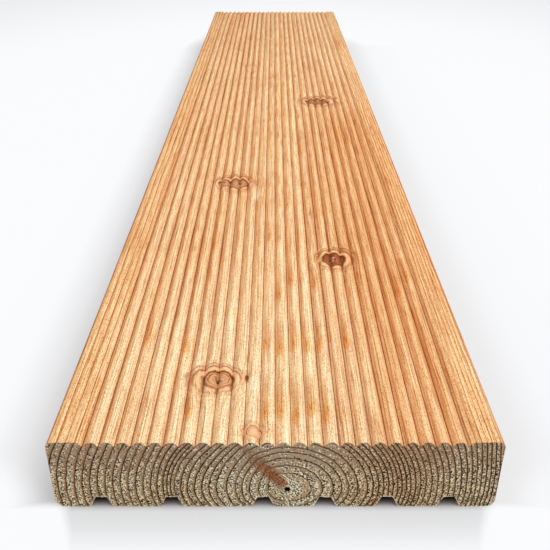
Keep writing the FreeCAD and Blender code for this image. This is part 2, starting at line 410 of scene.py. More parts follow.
def half_ridge():
    """The left half of a ridge on its own centreline, from its valley up to the middle of its crest."""
    slope = 90 - VALLEY_ANGLE / 2
    centre = THICKNESS - math.sqrt(CREST_RADIUS**2 - (CREST_FLAT / 2) ** 2)
    crest = arc(0, centre, CREST_RADIUS, 90 + slope, 90, HIGH_STEPS)
    crest = [(x, min(z, THICKNESS)) for x, z in crest]
    top_x, top_z = crest[0]
    drop = (RIDGE_PITCH / 2 + top_x) * math.tan(math.radians(slope))
    valley = (-RIDGE_PITCH / 2, top_z - drop)
    return [valley] + straight(valley, crest[0], FLANK_SPACING) + crest


def eighth(side, top, start):
    """Half of a rounded long edge, 45 degrees from start, on the left side (-1) or the right one (1)."""
    radius = TOP_EDGE_RADIUS if top else BOTTOM_EDGE_RADIUS
    height = THICKNESS - radius if top else radius
    steps = HIGH_STEPS if top else LOW_STEPS
    return arc(side * (WIDTH / 2 - radius), height, radius, start, start + 45, steps)


def joined(first, second, longest):
    """Two runs of points, with a straight run between them."""
    return first + straight(first[-1], second[0], longest) + second


def ridge_outline():
    """All ridges and valleys of the walking face, from its right shoulder to its left one."""
    rising = half_ridge()
    outline = [(SHOULDER + x, z) for x, z in reversed(rising)]
    for ridge in range(RIDGE_COUNT):
        middle = SHOULDER - RIDGE_PITCH * (ridge + 1)
        outline += [(middle - x, z) for x, z in rising[1:]]
        outline += [(middle + x, z) for x, z in reversed(rising[:-1])]
    return outline + [(-SHOULDER - x, z) for x, z in rising[1:]]


def section_outline():
    """The board's section, anticlockwise from its lower left corner, and where its four faces start."""
    under = eighth(-1, False, 225)
    for middle in RELIEF_MIDDLES:
        under = joined(under, relief_outline(middle), FOOT_SPACING)
    under = joined(under, eighth(1, False, 270), FOOT_SPACING)
    right = joined(eighth(1, False, 315), eighth(1, True, 0), SIDE_SPACING)
    top = joined(eighth(1, True, 45), ridge_outline(), MARGIN_SPACING)
    top = joined(top, eighth(-1, True, 90), MARGIN_SPACING)
    left = joined(eighth(-1, True, 135), eighth(-1, False, 180), SIDE_SPACING)
    outline = []
    starts = []
    for face in (under, right, top, left):
        starts.append(len(outline))
        outline += face[:-1]
    return np.array(outline), starts


def stations():
    """Distances of the mesh's rows from the near end, closer together at the knots and the ends."""
    fine_steps = 8000
    fine = np.linspace(0, LENGTH, fine_steps + 1)
    spacing = np.full(len(fine), ROW_SPACING)
    for branch in BRANCHES:
        knot_half = 1.3 * branch.length
        beside = np.maximum(np.abs(fine - branch.along) - knot_half, 0)
        closer = (ROW_SPACING - KNOT_ROW_SPACING) * bell(beside, KNOT_ROW_FADE)
        spacing = np.minimum(spacing, ROW_SPACING - closer)
    count = np.concatenate([[0], np.cumsum((fine[1] - fine[0]) / spacing)[:-1]])
    rows = np.interp(np.linspace(0, count[-1], int(count[-1]) + 1), count, fine)
    return np.concatenate([[0, ARRIS], rows[1:-1], [LENGTH - ARRIS, LENGTH]])


def outline_normals(outline):
    """Outward unit normals of the section at its points."""
    before = outline - np.roll(outline, 1, axis=0)
    after = np.roll(outline, -1, axis=0) - outline
    normals = np.zeros_like(outline)
    for edge in (before, after):
        normals += np.stack([edge[:, 1], -edge[:, 0]], axis=1) / np.linalg.norm(edge, axis=1)[:, None]
    return normals / np.linalg.norm(normals, axis=1)[:, None]


def end_points(outline, starts):
    """Points inside the section for the end faces, on a loose grid that keeps clear of the outline."""
    under = outline[: starts[1] + 1]
    over = outline[starts[2] : starts[3] + 1][::-1]
    rng = np.random.default_rng(SEED + 9)
    points = []
    row_height = END_SPACING * 0.87
    for row, z in enumerate(np.arange(END_SPACING / 2, THICKNESS, row_height)):
        shift = END_SPACING / 2 * (row % 2)
        for x in np.arange(-WIDTH / 2 + shift, WIDTH / 2, END_SPACING):
            points.append((x, z))
    loose = rng.uniform(-END_LOOSENESS, END_LOOSENESS, (len(points), 2))
    points = np.array(points) + loose * END_SPACING
    points = points[np.hypot(points[:, 0] - PITH_X, points[:, 1] - PITH_Z) > 1.6 * PITH_HOLE]
    for share, corners in PITH_RINGS:
        radius = share * PITH_HOLE
        turns = np.arange(corners) * 2 * math.pi / corners
        ring = np.stack([PITH_X + radius * np.cos(turns), PITH_Z + radius * np.sin(turns)], axis=1)
        points = np.concatenate([points, ring])
    floor = np.interp(points[:, 0], under[:, 0], under[:, 1])
    ceiling = np.interp(points[:, 0], over[:, 0], over[:, 1])
    clear = 0.55 * END_SPACING
    away = np.min(np.linalg.norm(points[:, None] - outline[None], axis=2), axis=1)
    inside = (points[:, 1] > floor) & (points[:, 1] < ceiling) & (away > clear)
    inside &= np.abs(points[:, 0]) < WIDTH / 2 - clear
    return points[inside]


def end_face(outline, inner):
    """Triangles over the section's outline and inner points, anticlockwise, by their index."""
    spots = [(float(x), float(z)) for x, z in np.concatenate([outline, inner])]
    count = len(outline)
    edges = [(index, (index + 1) % count) for index in range(count)]
    inside_only = 1
    same_point = 1e-6
    _, _, triangles, sources, _, _ = delaunay_2d_cdt(spots, edges, [], inside_only, same_point)
    origin = [source[0] for source in sources]
    return [tuple(origin[corner] for corner in triangle) for triangle in triangles]


def long_relief(points, fields):
    """How far the long faces stand proud of the planed profile, in millimetres."""
    late = ease(0.55, 0.95, fields["growth"] % 1) - 0.5
    rough = layered_noise(points / (1.3, 2.4, 1.3), SEED + 5)
    easy = layered_noise(points / (14, 90, 14), SEED + 6)
    inside = ease(1.3, 0.8, fields["knot"])
    outline = fields["dead"] * bell(fields["knot"] - 1, 0.09)
    proud = LATE_WOOD_RISE * late + WAVE_RISE * easy + KNOT_ROUGHNESS * rough * inside
    return proud - KNOT_GROOVE * outline - KNOT_HOLE_DEPTH * fields["pit"]


def end_relief(points, fields):
    """How deep the sawn ends lie behind the square cut, in millimetres."""
    rough = layered_noise(points / 0.9, SEED + 7)
    saw = np.sin(points[:, 0] * 1.1 + 0.35 * points[:, 2] + layered_noise(points / 9, SEED + 8, 1))
    return SAW_SETBACK + SAW_ROUGHNESS * rough + SAW_MARK * saw + PITH_HOLE_DEPTH * fields["pit"]


def fray(points):
    """Loose fibres that hang from the groove ceilings at the sawn ends, in millimetres downward."""
    x, along, z = points.T
    from_end = np.minimum(along, LENGTH - along)
    in_groove = (z > RELIEF_DEPTH - 0.9) & (z < RELIEF_DEPTH + 0.4) & (np.abs(x) < WIDTH / 2 - 5)
    tuft = np.maximum(smooth_noise(points / (0.7, 2.0, 3.0) + 4.4, SEED + 11) + 0.1, 0)
    return TUFT_LENGTH * tuft * in_groove * ease(2.5, 0.3, from_end)


def face_fields(outline, starts):
    """At each point of the section: depth below the crests, and torn lower edges."""
    depth = np.zeros(len(outline))
    top = slice(starts[2], starts[3])
    depth[top] = (THICKNESS - outline[top, 1]) / RIDGE_DEPTH
    torn = (outline[:, 1] < RELIEF_DEPTH + 0.1) * 1.0
    return {"valley": depth, "torn": torn}


def board_shape(outline, starts, rows, inner):
    """The mesh's points in millimetres, (x, along, z), and the tree's fields at each."""
    normals = outline_normals(outline)
    inset = np.zeros(len(rows))
    inset[[0, -1]] = ARRIS
    section = outline[None] - inset[:, None, None] * normals[None]
    along = np.repeat(rows[:, None], len(outline), axis=1)
    long_points = np.stack([section[:, :, 0], along, section[:, :, 1]], axis=2).reshape(-1, 3)
    near_points = np.stack([inner[:, 0], np.zeros(len(inner)), inner[:, 1]], axis=1)
    points = np.concatenate([long_points, near_points, near_points + (0, LENGTH, 0)])
    fields = growth_fields(points)
    for name, values in face_fields(outline, starts).items():
        fields[name] = np.concatenate([np.tile(values, len(rows)), np.zeros(2 * len(inner))])

    count = len(long_points)
    shaped = points.copy()
    proud = long_relief(points, fields)[:count, None]
    shaped[:count, [0, 2]] += proud * np.tile(normals, (len(rows), 1))
    shaped[:count, 2] -= fray(points)[:count]
    deep = end_relief(points, fields)[count:]
    deep[len(inner) :] *= -1
    shaped[count:, 1] += deep
    shaped[:, 2] = np.clip(shaped[:, 2], 0, THICKNESS)
    shaped[:, 0] = np.clip(shaped[:, 0], -WIDTH / 2, WIDTH / 2)
    return shaped, fields


def board_faces(around, row_count, inner_count, triangles):
    """Quads along the board, then the triangles of the near end and of the far end."""
    faces = []
    for start in range(0, (row_count - 1) * around, around):
        for index in range(around):
            following = (index + 1) % around
            ahead = start + around
            faces.append((start + index, ahead + index, ahead + following, start + following))
    far_row = (row_count - 1) * around
    for triangle in triangles:
        faces.append(tuple(corner if corner < around else far_row + corner for corner in triangle))
    far_inner = far_row + inner_count
    for triangle in reversed(triangles):
        flipped = reversed(triangle)
        faces.append(tuple((far_row if corner < around else far_inner) + corner for corner in flipped))
    return faces


def texture_places(outline, starts, rows, inner, triangles):
    """Where each corner of each face lies on the texture, in the order of board_faces."""
    around = len(outline)
    side = np.linalg.norm(np.roll(outline, -1, axis=0) - outline, axis=1)
    columns = np.zeros((around, 2))
    ends = starts[1:] + [around]
    for start, end, (low, high) in zip(starts, ends, LONG_BANDS):
        reach = np.concatenate([[0], np.cumsum(side[start:end])]) / side[start:end].sum()
        place = low + (high - low) * reach
        columns[start:end, 0] = place[:-1]
        columns[start:end, 1] = place[1:]
    up = BAND_MARGIN + (1 - 2 * BAND_MARGIN) * rows / LENGTH
    places = []
    for low, high in itertools.pairwise(up):
        for first, second in columns:
            places += [(first, low), (first, high), (second, high), (second, low)]
    flat = np.concatenate([outline, inner])
    across = BAND_MARGIN + (1 - 2 * BAND_MARGIN) * (flat[:, 0] / WIDTH + 0.5)
    for (low, high), turned in zip(END_BANDS, (False, True)):
        height = low + (high - low) * flat[:, 1] / THICKNESS
        for triangle in reversed(triangles) if turned else triangles:
            corners = reversed(triangle) if turned else triangle
            places += [(height[corner], across[corner]) for corner in corners]
    return np.array(places)


def board_mesh():
    """The board as one closed mesh, with the tree's fields and its places on the texture."""
    outline, starts = section_outline()
    rows = stations()
    inner = end_points(outline, starts)
    triangles = end_face(outline, inner)
    shaped, fields = board_shape(outline, starts, rows, inner)
    faces = board_faces(len(outline), len(rows), len(inner), triangles)

    mesh = bpy.data.meshes.new("board")
    mesh.from_pydata(((shaped - (0, LENGTH / 2, 0)) * MM).tolist(), [], faces)
    end_count = 2 * len(triangles)
    mesh.polygons.foreach_set("material_index", [0] * (len(faces) - end_count) + [1] * end_count)
    mesh.polygons.foreach_set("use_smooth", [True] * len(faces))
    for name, values in fields.items():
        layer = mesh.attributes.new(name, "FLOAT", "POINT")
        layer.data.foreach_set("value", values.astype(np.float32))
    texture = mesh.uv_layers.new(name="OFBake")
    places = texture_places(outline, starts, rows, inner, triangles)
    texture.uv.foreach_set("vector", places.astype(np.float32).ravel())
    mesh.set_sharp_from_angle(angle=math.radians(SHARP_ANGLE))
    return mesh


def paint(red, green, blue):
    """A colour as a screen shows it, 0 to 255, as the shaders take it."""
    channels = [channel / 255 for channel in (red, green, blue)]
    linear = [c / 12.92 if c <= 0.04045 else ((c + 0.055) / 1.055) ** 2.4 for c in channels]
    return (*linear, 1.0)


# The sockets of a mix node that are for its share and for colours
MIX_INPUTS = (0, 6, 7)
MIX_RESULT = 2


class Wiring:
    """A material's nodes, added one by one and joined as they are named."""

    def __init__(self, name):
        self.material = bpy.data.materials.new(name)
        self.material.use_nodes = True
        self.tree = self.material.node_tree
        self.tree.nodes.clear()

    def node(self, kind, *values, **settings):
        """A node with these settings, and these values in its first sockets."""
        made = self.tree.nodes.new(kind)
        for name, value in settings.items():
            setattr(made, name, value)
        for socket, value in zip(made.inputs, values):
            self.feed(socket, value)
        return made

    def filled(self, kind, sockets, **settings):
        """A node with these settings, and values in the sockets of these names."""
        made = self.node(kind, **settings)
        for name, value in sockets.items():
            self.feed(made.inputs[name], value)
        return made

    def feed(self, socket, value):
        if isinstance(value, bpy.types.NodeSocket):
            self.tree.links.new(value, socket)
        else:
            socket.default_value = value

    def math(self, operation, first, second=0, clamp=False):
        return self.node("ShaderNodeMath", first, second, operation=operation, use_clamp=clamp).outputs[0]

    def chain(self, operation, first, *others):
        for other in others:
            first = self.math(operation, first, other)
        return first

    def add(self, *values):
        return self.chain("ADD", *values)

    def times(self, *values):
        return self.chain("MULTIPLY", *values)

    def most(self, *values):
        return self.chain("MAXIMUM", *values)

    def less(self, first, second):
        return self.math("SUBTRACT", first, second)

    def shifted(self, value, noise, reach):
        """A value moved by up to half of reach either way, as the noise goes."""
        return self.add(value, self.times(self.less(noise, 0.5), reach))

    def span(self, value, low, high, low_result=0, high_result=1):
        values = (value, low, high, low_result, high_result)
        return self.node("ShaderNodeMapRange", *values, interpolation_type="SMOOTHSTEP").outputs[0]

    def apart(self, value, middle):
        """How far a value is from the middle, either way."""
        return self.math("ABSOLUTE", self.less(value, middle))

    def ridge(self, value, middle, half):
        """1 where value is at the middle, and 0 further than half from it."""
        return self.span(self.apart(value, middle), half, 0)

    def mix(self, share, first, second, blend="MIX"):
        """Two colours, each another node's or red, green and blue as a screen shows them."""
        colours = [paint(*given) if isinstance(given, tuple) else given for given in (first, second)]
        sockets = dict(zip(MIX_INPUTS, (share, *colours)))
        return self.filled("ShaderNodeMix", sockets, data_type="RGBA", blend_type=blend).outputs[MIX_RESULT]

    def tint(self, share, colour, tone):
        """The colour multiplied by the tone, by this share."""
        return self.mix(share, colour, tone, "MULTIPLY")

    def ramp(self, value, stops):
        made = self.node("ShaderNodeValToRGB", value)
        elements = made.color_ramp.elements
        while len(elements) < len(stops):
            elements.new(0.5)
        for element, (place, colour) in zip(elements, stops):
            element.position = place
            element.color = paint(*colour)
        return made.outputs[0]

    def attribute(self, name):
        return self.node("ShaderNodeAttribute", attribute_name=name).outputs["Fac"]

    def millimetres(self):
        """Places in millimetres, with the distance along the board counted from its near end."""
        place = self.node("ShaderNodeTexCoord").outputs["Object"]
        values = (place, (1 / MM, 1 / MM, 1 / MM), (0, LENGTH / 2, 0))
        return self.node("ShaderNodeVectorMath", *values, operation="MULTIPLY_ADD").outputs[0]

    def parts(self, place):
        return self.node("ShaderNodeSeparateXYZ", place).outputs

    def stretched(self, place, sizes):
        return self.node("ShaderNodeVectorMath", place, sizes, operation="DIVIDE").outputs[0]

    def noise(self, place, sizes, detail=2):
        sockets = {"Vector": self.stretched(place, sizes), "Scale": 1, "Detail": detail}
        return self.filled("ShaderNodeTexNoise", sockets).outputs["Fac"]

    def cells(self, place, size):
        """Distance from the middle of each of many small cells, and a random number for each cell."""
        made = self.filled("ShaderNodeTexVoronoi", {"Vector": place, "Scale": 1 / size})
        picked = self.node("ShaderNodeSeparateColor", made.outputs["Color"])
        return made.outputs["Distance"], picked.outputs[0]

    def chance(self, value):
        """A random number from 0 to 1 for each value."""
        return self.filled("ShaderNodeTexWhiteNoise", {"W": value}, noise_dimensions="1D").outputs["Value"]

    def bump(self, height, distance, strength, under=None):
        sockets = {"Height": height, "Distance": distance * MM, "Strength": strength}
        if under:
            sockets["Normal"] = under
        return self.filled("ShaderNodeBump", sockets).outputs[0]

    def surface(self, colour, roughness, normal, specular):
        sockets = {
            "Base Color": colour,
            "Roughness": roughness,
            "Normal": normal,
            "Specular IOR Level": specular,
        }
        return self.finished(self.filled("ShaderNodeBsdfPrincipled", sockets))

    def finished(self, shader):
        self.node("ShaderNodeOutputMaterial", shader.outputs[0])
        return self.material


def fibre_place(w, place):
    """Places whose distance across follows the fibres, which part round the knots."""
    _, along, height = w.parts(place)
    return w.node("ShaderNodeCombineXYZ", w.attribute("across"), along, height).outputs[0]


def ring_bands(w, streak):
    """Early wood, late wood and the dark line that ends each ring."""
    phase = w.math("FRACT", w.shifted(w.attribute("growth"), streak, 0.16))
    return w.ramp(phase, (
        (0, (198, 136, 84)), (0.05, (251, 230, 184)), (0.55, (248, 221, 171)),
        (0.84, (234, 192, 138)), (0.92, (204, 144, 92)), (1, (170, 106, 62)),
    ))


def ridge_bands_and_flank_shade(w, fibres, streak):
    """Each ridge from its left valley to its right one: tan with a thin line at times, then cream. The tan
    on each left flank is partly late wood and partly painted shade, and the cream on each right part is
    partly painted light, as from a lamp on the right.
    """
    across = w.parts(fibres)[0]
    ridges = w.times(across, 1 / RIDGE_PITCH)
    drift = w.noise(fibres, (6, 110, 6))
    share = w.shifted(w.math("FRACT", ridges), streak, 0.16)
    own = w.chance(w.math("FLOOR", ridges))
    share = w.shifted(w.shifted(share, drift, 0.55), own, 0.26)
    # Painted shade in tan on each ridge's left flank, rising to painted light in cream on its right part
    strong = w.ramp(share, (
        (0, (238, 184, 124)), (0.2, (241, 192, 134)), (0.34, (247, 213, 160)),
        (0.46, (252, 233, 188)), (0.62, (255, 246, 208)), (0.86, (254, 243, 202)),
        (0.97, (249, 229, 186)), (1, (238, 196, 147)),
    ))
    weak = w.mix(w.span(share, 0.05, 0.7), (245, 211, 163), (252, 238, 203))
    even = w.span(across, 10, 45, 1, 0.6)
    bands = w.mix(w.times(w.span(own, 0.1, 0.7, 0.6, 1), even), weak, strong)
    left_line = w.times(w.ridge(share, 0.17, 0.035), w.span(own, 0.3, 0.6, 0, 0.8))
    middle_line = w.times(w.ridge(share, 0.4, 0.03), w.span(own, 0.75, 0.35, 0, 0.8))
    return w.tint(w.most(left_line, middle_line), bands, (196, 140, 96))


def tongue_place(w, place):
    """Whether a place has a tongue, how far it lies past the tongue's point, and how far aside."""
    x, along, _ = w.parts(place)
    ridge = w.math("FLOOR", w.times(x, 1 / RIDGE_PITCH))
    across = w.less(x, w.times(ridge, RIDGE_PITCH))
    steps = w.times(w.less(along, TONGUE_START), 1 / TONGUE_SPACING)
    step = w.math("FLOOR", steps)
    pick = w.chance(w.add(w.times(ridge, 7.31), w.times(step, 3.77)))
    other = w.chance(w.add(w.times(ridge, 1.93), w.times(step, 5.21)))
    wanted = w.span(w.apart(x, TONGUE_MIDDLE), 17, 9, 0.08, 0.95)
    wanted = w.times(wanted, w.span(step, 1.2, 1.8, 1, 0.75))
    present = w.math("LESS_THAN", pick, wanted)
    point = w.add(w.times(other, w.span(step, 0.5, 2.5, 6, 16)), 6)
    local = w.less(w.times(w.math("FRACT", steps), TONGUE_SPACING), point)
    ragged = w.noise(place, (0.8, 9, 0.8))
    aside = w.apart(w.shifted(across, ragged, 0.9), TONGUE_ACROSS)
    return present, local, aside


def tongues(w, place, ridged, colour):
    """Tan tongues on the ridges, pointed towards the near end, each with orange resin round its point."""
    present, local, aside = tongue_place(w, place)
    half = w.math("MINIMUM", w.times(local, 0.1), 1.2)
    tongue = w.times(w.span(aside, w.add(half, 0.12), w.less(half, 0.12)), w.span(local, 26, 12))
    reach = w.math("MINIMUM", w.times(w.add(local, 7), 0.17), 1.3)
    flame = w.times(w.span(local, -7, -1), w.span(local, 17, 1))
    flame = w.times(flame, w.span(aside, w.add(reach, 0.6), w.less(reach, 0.4)))
    flame = w.times(flame, w.span(tongue, 0, 1, 1, 0.35))
    lines = w.times(w.span(local, -0.5, 0.5), w.span(local, 9, 2))
    lines = w.times(lines, w.ridge(w.less(aside, half), 0, 0.2))
    fading = w.times(present, ridged, w.span(w.parts(place)[1], 60, 200, 1, 0.5))
    colour = w.tint(w.times(tongue, fading, 0.65), colour, (230, 196, 166))
    colour = w.tint(w.times(flame, fading, 0.75), colour, (240, 194, 128))
    return w.tint(w.times(lines, fading, 0.7), colour, (200, 142, 94))


def knot_heart(w, place, distance, ragged, far_side):
    """The inside of a knot: cracks and arcs, with pale and black flecks at its middle."""
    dark = w.attribute("dark")
    old = w.span(w.attribute("dead"), 0.6, 0.8)
    turn = w.shifted(w.times(w.math("DIVIDE", w.attribute("ahead"), distance), 2.6), ragged, 1.4)
    cracks = w.times(w.ridge(w.math("FRACT", turn), 0.5, 0.34), w.ridge(distance, 0.55, 0.5))
    cracks = w.times(cracks, w.span(dark, 0.2, 0.7, 0.3, 1))
    arcs = w.span(w.math("FRACT", w.times(distance, 4)), 0.5, 0.9)
    arcs = w.times(arcs, far_side, w.span(distance, 0.3, 0.75, 0.25, 1))
    line = w.most(arcs, w.times(cracks, 0.75))
    light = w.mix(line, w.mix(old, (239, 192, 148), (222, 163, 114)), (124, 52, 14))
    deep = w.mix(line, (164, 94, 50), (92, 38, 12))
    heart = w.mix(dark, light, deep)
    fleck = w.noise(place, (0.9, 1.6, 0.9))
    core = w.times(w.span(distance, 0.46, 0.2), old)
    heart = w.mix(w.times(core, w.span(fleck, 0.53, 0.62, 0, 0.9)), heart, (226, 172, 122))
    return w.mix(w.times(core, w.span(fleck, 0.46, 0.38)), heart, (42, 18, 6))


def knot_rim(w, distance, bold, colour):
    """Round a knot: warmer wood, a pale rim and thin dark arcs, clearest towards the far end."""
    dead = w.attribute("dead")
    near = w.times(w.span(distance, 2.3, 1.1), w.span(dead, 0, 0.5))
    colour = w.tint(w.times(near, 0.55), colour, (240, 200, 168))
    colour = w.mix(w.times(w.ridge(distance, 1.3, 0.3), dead, 0.7), colour, (244, 194, 142))
    beyond = w.times(w.span(w.attribute("ahead"), -0.6, 0.5, 0.35, 1), dead)
    for reach, strength in ((1.6, 0.85), (1.95, 0.6)):
        thin = w.times(w.ridge(distance, reach, w.times(bold, 0.8)), beyond, strength)
        colour = w.mix(thin, colour, (158, 82, 36))
    return colour


def knots(w, place, colour):
    """Knots by their distance field: a rim, the heart, a dark outline, ticks in the valleys and a hole,
    painted near black as painted shade.
    """
    ahead = w.attribute("ahead")
    dead = w.attribute("dead")
    ragged = w.noise(place, (1.6, 2, 1.6), 3)
    distance = w.shifted(w.attribute("knot"), ragged, 0.26)
    far_side = w.span(ahead, -0.7, 0.4, 0.5, 1)
    bold = w.span(dead, 0.7, 1, 0.12, 0.25)
    colour = knot_rim(w, distance, bold, colour)
    body = w.times(w.span(distance, 1.05, 0.95), w.span(dead, 0, 0.3))
    colour = w.mix(body, colour, knot_heart(w, place, distance, ragged, far_side))
    outline = w.times(w.ridge(distance, 1, bold), dead, far_side)
    colour = w.mix(outline, colour, (112, 46, 12))
    tick = w.times(w.span(w.attribute("valley"), 0.3, 0.85), w.ridge(distance, 1.3, 0.45))
    tick = w.times(tick, w.span(ahead, 0, -0.5), dead, 0.75)
    colour = w.mix(tick, colour, (110, 50, 18))
    # Painted shade: the holes are painted near black
    return w.mix(w.attribute("pit"), colour, (16, 9, 6))


def pale_patches(w, place, colour):
    """The two whitish patches of resin-free wood beside the knots."""
    x, along, _ = w.parts(place)
    ragged = w.noise(place, (1.4, 5, 1.4))
    for middle, middle_along, half, half_along in PALE_SPOTS:
        beside = w.times(w.less(x, middle), 1 / half)
        beyond = w.times(w.less(along, middle_along), 1 / half_along)
        away = w.shifted(w.add(w.times(beside, beside), w.times(beyond, beyond)), ragged, 1)
        colour = w.mix(w.span(away, 1.3, 0.3, 0, 0.7), colour, (254, 242, 212))
    return colour


def warm_places(w, x, along, cloud):
    """How far the wood is warmed in each place, and the pale middle of its near part."""
    middle = w.times(w.span(w.apart(x, -4), 44, 16), w.span(along, 120, 30))
    warm = w.times(w.span(x, 6, 46, 0, 0.66), w.span(along, 260, 460, 1, 0))
    warm = w.times(warm, w.span(x, 56, 63, 1, 0.45), w.span(along, 0, 110, 0.75, 1))
    fresh = w.times(w.span(x, 0, 30), w.span(along, 260, 460))
    outer = w.times(w.span(w.apart(x, PITH_X), 10, 36), w.less(1, fresh))
    warm = w.add(warm, w.times(outer, w.span(along, 30, 140, 0, 0.24)))
    warm = w.add(warm, w.times(w.less(1, middle), 0.2), w.span(along, 20, 420, 0, 0.1))
    return w.math("ADD", warm, w.span(cloud, 0.45, 0.75, 0, 0.3), clamp=True), middle


def long_streaks(w, fibres, streak, colour):
    """Tan and cream streaks along the fibres, and thin hair lines."""
    colour = w.tint(w.span(streak, 0.5, 0.72, 0, 0.6), colour, (226, 184, 146))
    colour = w.mix(w.span(streak, 0.46, 0.3, 0, 0.4), colour, (252, 234, 196))
    hair = w.noise(fibres, (0.5, 150, 0.5), 1)
    return w.tint(w.times(w.ridge(hair, 0.5, 0.03), 0.85), colour, (196, 146, 108))


def short_fibres(w, place, fibres, fibre, colour):
    """Short fibres, dots and resin dashes."""
    colour = w.tint(w.span(fibre, 0.45, 0.68, 0, 0.85), colour, (222, 184, 148))
    dots = w.noise(place, (0.32, 0.75, 0.32), 1)
    colour = w.tint(w.span(dots, 0.48, 0.7, 0, 0.85), colour, (214, 174, 138))
    dash = w.span(w.noise(fibres, (0.4, 6, 0.4), 1), 0.7, 0.76, 0, 0.55)
    return w.mix(dash, colour, (144, 86, 48))


def valley_shade_and_dark_edges(w, x, height, colour):
    """Painted shade along the valley floors, and darker long edges beside the walking face."""
    # Painted shade: the floor of each V valley is darkened as a crease in shade
    colour = w.tint(w.span(w.attribute("valley"), 0.86, 0.95, 0, 0.85), colour, (150, 102, 74))
    from_side = w.less(WIDTH / 2, w.apart(x, 0))
    edge = w.times(w.span(from_side, 2.1, 0.7, 0, 0.35), w.span(height, 22, 25))
    return w.tint(edge, colour, (214, 156, 106))


def planed_wood():
    """The long faces: rings cut lengthwise, fibres, resin dashes, tongues and knots."""
    w = Wiring("planed_wood")
    place = w.millimetres()
    fibres = fibre_place(w, place)
    x, along, height = w.parts(place)
    fibre = w.noise(fibres, (0.3, 14, 0.3), 3)
    streak = w.noise(fibres, (0.7, 90, 0.7), 3)
    cloud = w.noise(place, (26, 120, 26))

    inward = w.less(SHOULDER, w.apart(x, 0))
    below_valley = w.less(VALLEY_HEIGHT, height)
    ridged = w.times(w.span(inward, 0.75, 2.75), w.span(below_valley, 1.2, 0.4))
    rings = ring_bands(w, streak)
    colour = w.mix(ridged, rings, w.mix(0.3, ridge_bands_and_flank_shade(w, fibres, streak), rings))
    warm, middle = warm_places(w, x, along, cloud)
    colour = w.tint(warm, colour, (240, 211, 186))
    colour = w.mix(w.times(middle, 0.3), colour, (255, 248, 212))
    colour = long_streaks(w, fibres, streak, colour)
    colour = tongues(w, fibres, ridged, colour)
    colour = pale_patches(w, place, colour)
    colour = short_fibres(w, place, fibres, fibre, colour)
    colour = valley_shade_and_dark_edges(w, x, height, colour)
    colour = knots(w, place, colour)

    roughness = w.span(fibre, 0.2, 0.8, 0.52, 0.72)
    late = w.span(w.math("FRACT", w.attribute("growth")), 0.5, 1)
    relief = w.bump(late, 0.06, 0.6, under=w.bump(fibre, 0.08, 0.7))
    return w.surface(colour, roughness, relief, 0.04)


def ring_lines(w, place):
    """Millimetres to each ring's dark line from the pith's side and from beyond it, and which ring it is."""
    shake = w.noise(place, (1.3, 1.3, 1.3), 3)
    ring = w.shifted(w.attribute("growth"), shake, 0.26)
    width = w.attribute("ring_width")
    phase = w.math("FRACT", ring)
    before = w.times(w.less(1, phase), width)
    after = w.times(phase, width)
    return before, after, w.math("FLOOR", ring)


def end_mottle(w, place, low, open_wood, base):
    """Small pale and dark fibre ends in the open wood of each ring, the pale ones more common low down."""
    bead = w.mix(low, (250, 238, 214), (255, 250, 222))
    x, _, height = w.parts(place)
    calm = w.times(w.span(w.apart(x, PITH_X), 24, 9), w.span(height, 12, 17))
    share = w.times(open_wood, w.span(calm, 0, 1, 1, 0.6))
    spot, pick = w.cells(place, 0.46)
    wanted = w.math("LESS_THAN", pick, w.times(w.span(low, 0, 1, 0.6, 0.9), share))
    base = w.mix(w.times(w.span(spot, 0.62, 0.5), wanted), base, bead)
    spot, pick = w.cells(w.stretched(place, (1, 1, 0.94)), 0.5)
    wanted = w.math("LESS_THAN", pick, w.times(share, 0.7))
    return w.mix(w.times(w.span(spot, 0.56, 0.44), wanted), base, (22, 13, 5))


def end_rings(w, flat, x, height, low, base):
    """Each ring's fibre ends, a brown margin left of its dark line, and that line; gives back that line too.
    Right of the pith the margin is the ring's denser wood; left of it the margin is painted shade, as from a
    lamp on the right.
    """
    before, after, year = ring_lines(w, flat)
    left = w.span(x, PITH_X + 2, PITH_X - 2)
    beside = w.add(before, w.times(left, w.less(after, before)))
    share = w.math("DIVIDE", beside, w.attribute("ring_width"))
    open_wood = w.times(w.span(share, 0.15, 0.5, 0.2, 1), w.span(height, 25, 14, 0.4, 1))
    base = end_mottle(w, flat, low, open_wood, base)
    # Brown margin left of each line: denser wood right of the pith, painted shade left of it
    base = w.mix(w.span(beside, 0.8, 0.2, 0, 0.45), base, (132, 92, 54))
    line = w.most(w.span(before, 0.39, 0.2), w.span(after, 0.15, 0.05))
    line = w.times(line, w.span(w.chance(year), 0, 0.5, 0.75, 1))
    return w.mix(line, base, (66, 46, 26)), line


def end_branch(w, flat, height, base):
    """The brown branch that the near end cuts lengthwise, greyer towards the walking face."""
    fleck = w.noise(flat, (0.7, 0.7, 0.7), 3)
    branch = w.mix(w.span(fleck, 0.44, 0.58), (172, 104, 58), (92, 46, 22))
    branch = w.mix(w.span(fleck, 0.4, 0.32, 0, 0.6), branch, (222, 176, 128))
    branch = w.mix(w.span(height, 15, 24), branch, (124, 90, 58))
    return w.mix(w.times(w.attribute("streak"), 0.9), base, branch)


